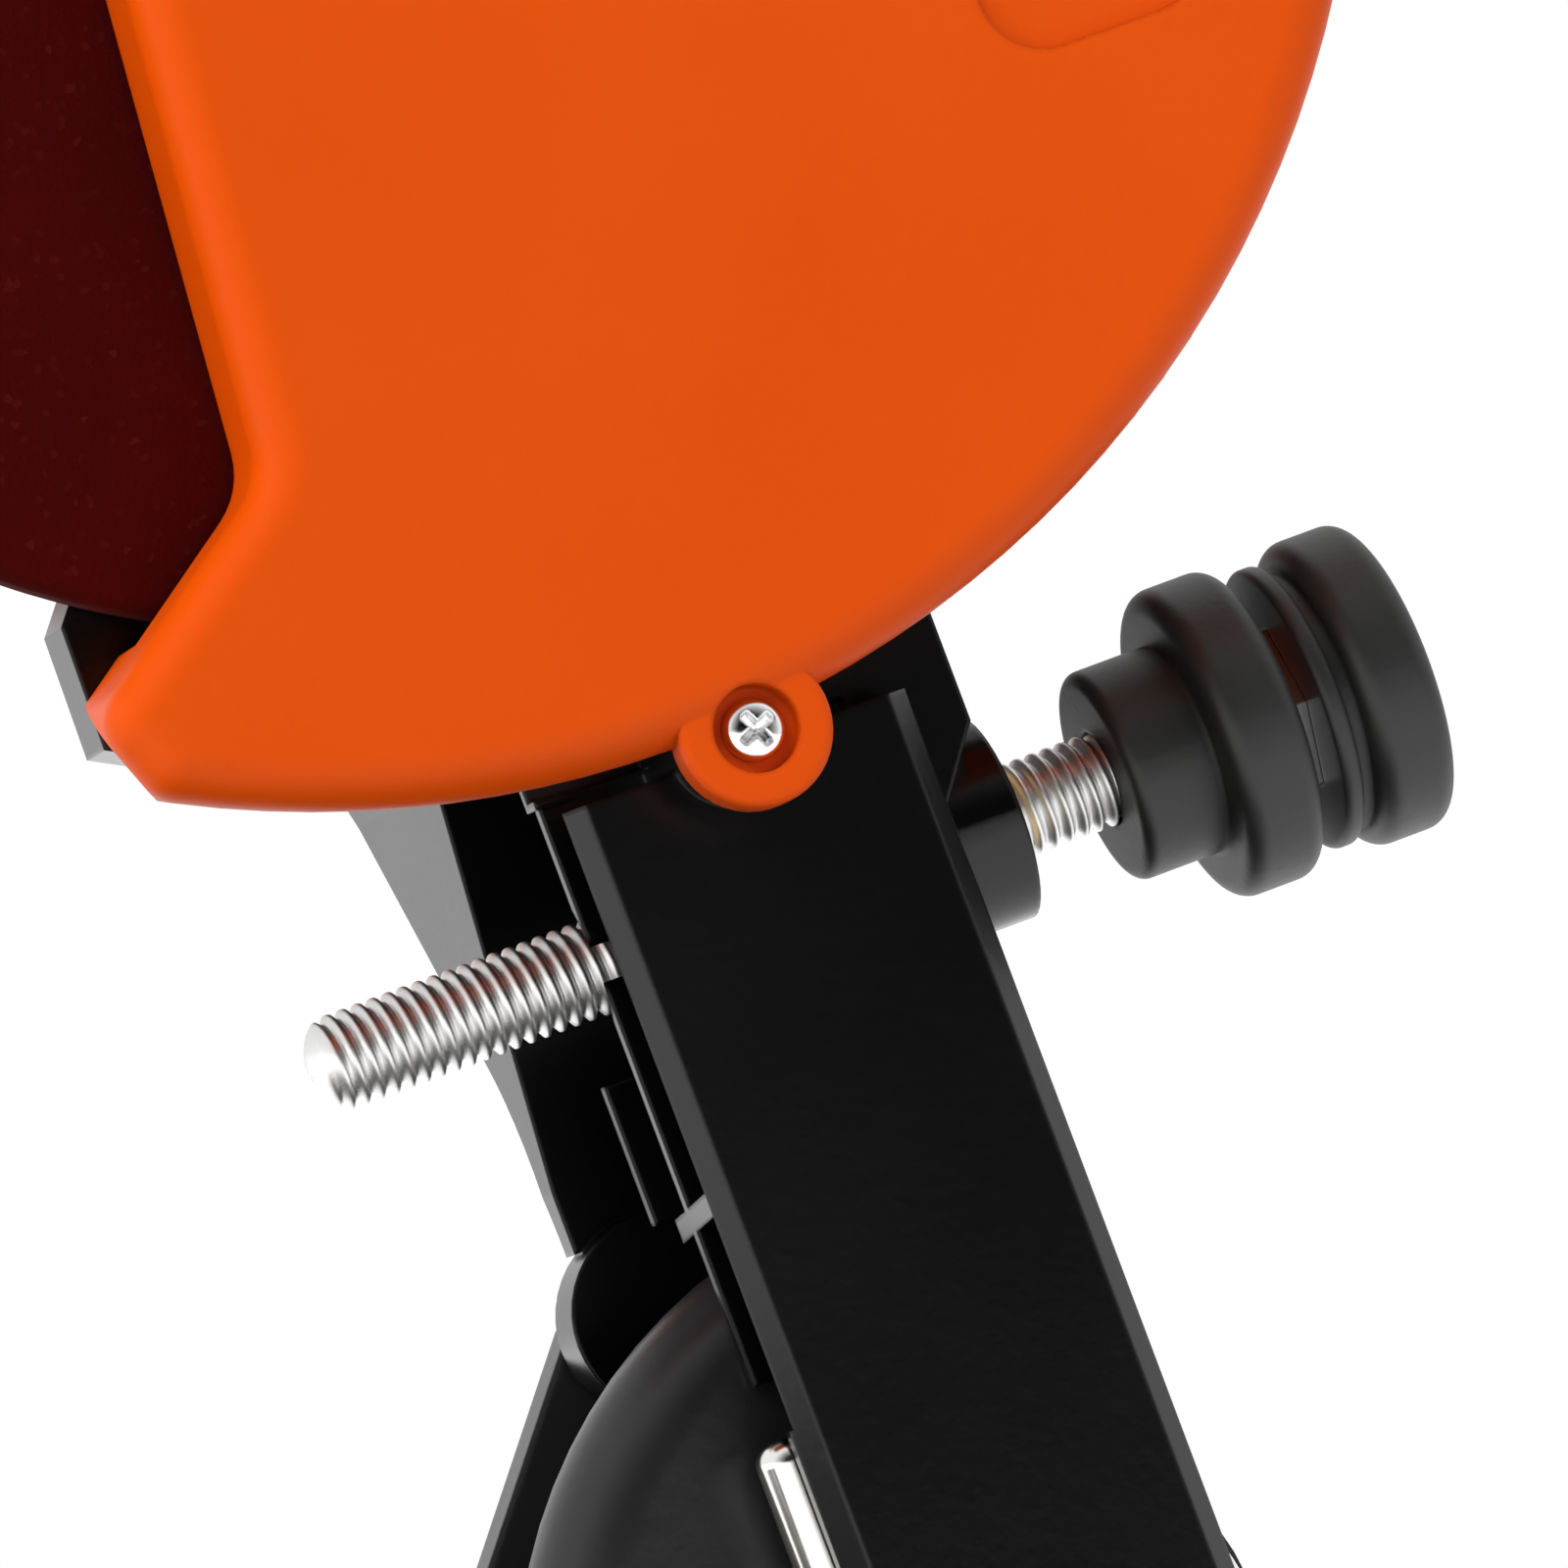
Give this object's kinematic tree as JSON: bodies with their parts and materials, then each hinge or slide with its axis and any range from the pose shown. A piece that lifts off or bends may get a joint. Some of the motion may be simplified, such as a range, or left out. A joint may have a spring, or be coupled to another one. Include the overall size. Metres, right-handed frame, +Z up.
{
  "type": "electric chainsaw sharpener",
  "caption": "Bench-mounted electric grinder that sharpens saw chains: a hinged arm lowers a guarded abrasive wheel onto a chain held in a swivelling vice.",
  "frame": {"origin": "centre of the base's underside, on the bench, midway between the four bench bolt holes", "axes": "+Z up, +X towards the side that the wheel's cover faces, -Y towards the operator; the wheel's mid-plane is X = 0"},
  "size_m": [0.163, 0.2295, 0.3166],
  "materials": {
    "base_paint": "satin black paint on cast metal",
    "scale_plate": "anodised plate with printed lines",
    "steel": "zinc-plated steel",
    "spring_chrome": "bright spring wire",
    "screw_steel": "bright rolled thread",
    "screw_chrome": "bright plated",
    "brass": "turned brass",
    "cover_orange": "satin moulded orange plastic",
    "arm_plastic": "satin moulded black plastic",
    "knob_plastic": "matte black plastic",
    "bush_plastic": "natural nylon",
    "bush_rubber": "matte black rubber",
    "grip_rubber": "soft ribbed rubber",
    "switch_black": "black plastic",
    "switch_red": "gloss red plastic",
    "lamination": "stacked sheet steel with windings",
    "copper": "copper bars",
    "carbon": "pressed carbon",
    "wheel_abrasive": "bonded dark red abrasive"
  },
  "bodies": {
    "base": {"base_casting": "base_paint", "angle_scale": "scale_plate", "stop_pad": "steel", "hinge_axle": "steel", "hinge_nut": "steel", "hinge_washer": "steel", "return_spring": "spring_chrome"},
    "vice": {"vice_table": "base_paint", "rear_rail": "steel", "vice_screws": "steel", "guide_pins": "steel", "stop_bracket": "base_paint", "pivot_bolt": "steel", "pivot_washer": "steel"},
    "jaw": {"front_rail": "steel"},
    "clamp": {"clamp_screw": "steel", "clamp_knob": "knob_plastic"},
    "chain_stop": {"stop_rod": "steel", "stop_knob": "knob_plastic"},
    "pawl": {"stop_pawl": "steel"},
    "vice_lock": {"vice_lock_screw": "steel", "vice_lock_knob": "knob_plastic"},
    "arm": {"arm_casting": "arm_plastic", "arm_bushes": "bush_plastic", "guard_cover": "cover_orange", "cover_screws": "screw_chrome", "thread_insert": "brass", "motor_housing": "cover_orange", "housing_screws": "screw_chrome", "end_cap": "arm_plastic", "stator": "lamination", "front_bearing": "steel", "rear_bearing": "steel", "carbon_brushes": "carbon", "brush_caps": "arm_plastic", "cord_bush": "bush_rubber", "handle_bar": "steel", "handle_grip": "grip_rubber", "switch_body": "switch_black"},
    "switch": {"switch_rocker": "switch_red"},
    "spindle": {"rotor": "lamination", "commutator": "copper", "cooling_fan": "bush_plastic", "inner_flange": "steel", "grinding_wheel": "wheel_abrasive", "outer_flange": "steel", "spindle_nut": "screw_chrome"},
    "depth_stop": {"limit_screw": "screw_steel", "limit_nut": "screw_chrome", "limit_knob": "knob_plastic"},
    "depth_lock": {"lock_knob": "knob_plastic"}
  },
  "joints": [
    {"name": "arm_swing", "type": "hinge", "parent": "base", "child": "arm", "pos_m": [0, 0.06539, 0.078], "axis": [1, 0, 0], "range_deg": [0, 55], "stiffness_Nm_per_rad": 3, "springref_deg": -34.38, "deforming": ["return_spring"]},
    {"name": "wheel_spin", "type": "hinge", "parent": "arm", "child": "spindle", "pos_m": [0, 0.01583, 0.19393], "axis": [1, 0, 0], "continuous": true},
    {"name": "depth_stop_travel", "type": "slide", "parent": "arm", "child": "depth_stop", "axis": [0, -0.933, -0.36], "range_m": [-0.008, 0.003]},
    {"name": "depth_lock_travel", "type": "slide", "parent": "depth_stop", "child": "depth_lock", "axis": [0, -0.933, -0.36], "range_m": [0, 0.003]},
    {"name": "switch_tilt", "type": "hinge", "parent": "arm", "child": "switch", "pos_m": [-0.034, -0.02055, 0.17989], "axis": [1, 0, 0], "range_deg": [-14, 0]},
    {"name": "vice_turn", "type": "hinge", "parent": "base", "child": "vice", "pos_m": [0, -0.058, 0.0324], "axis": [0, 0, 1], "range_deg": [-35, 35]},
    {"name": "jaw_travel", "type": "slide", "parent": "vice", "child": "jaw", "axis": [0, 1, 0], "range_m": [0, 0.0018]},
    {"name": "clamp_turn", "type": "hinge", "parent": "jaw", "child": "clamp", "pos_m": [0, -0.058, 0.0406], "axis": [0, 1, 0], "range_deg": [0, 518.4]},
    {"name": "vice_lock_turn", "type": "hinge", "parent": "base", "child": "vice_lock", "pos_m": [0, -0.108, 0.012], "axis": [0, 1, 0], "range_deg": [0, 180]},
    {"name": "chain_stop_feed", "type": "slide", "parent": "vice", "child": "chain_stop", "axis": [1, 0, 0], "range_m": [0, 0.005]},
    {"name": "pawl_flip", "type": "hinge", "parent": "chain_stop", "child": "pawl", "pos_m": [0.015, -0.0485, 0.0503], "axis": [1, 0, 0], "range_deg": [-100, 0]}
  ],
  "couplings": [
    {"joint": "clamp_turn", "follows": "jaw_travel", "rad_per_m": 5026.5}
  ]
}
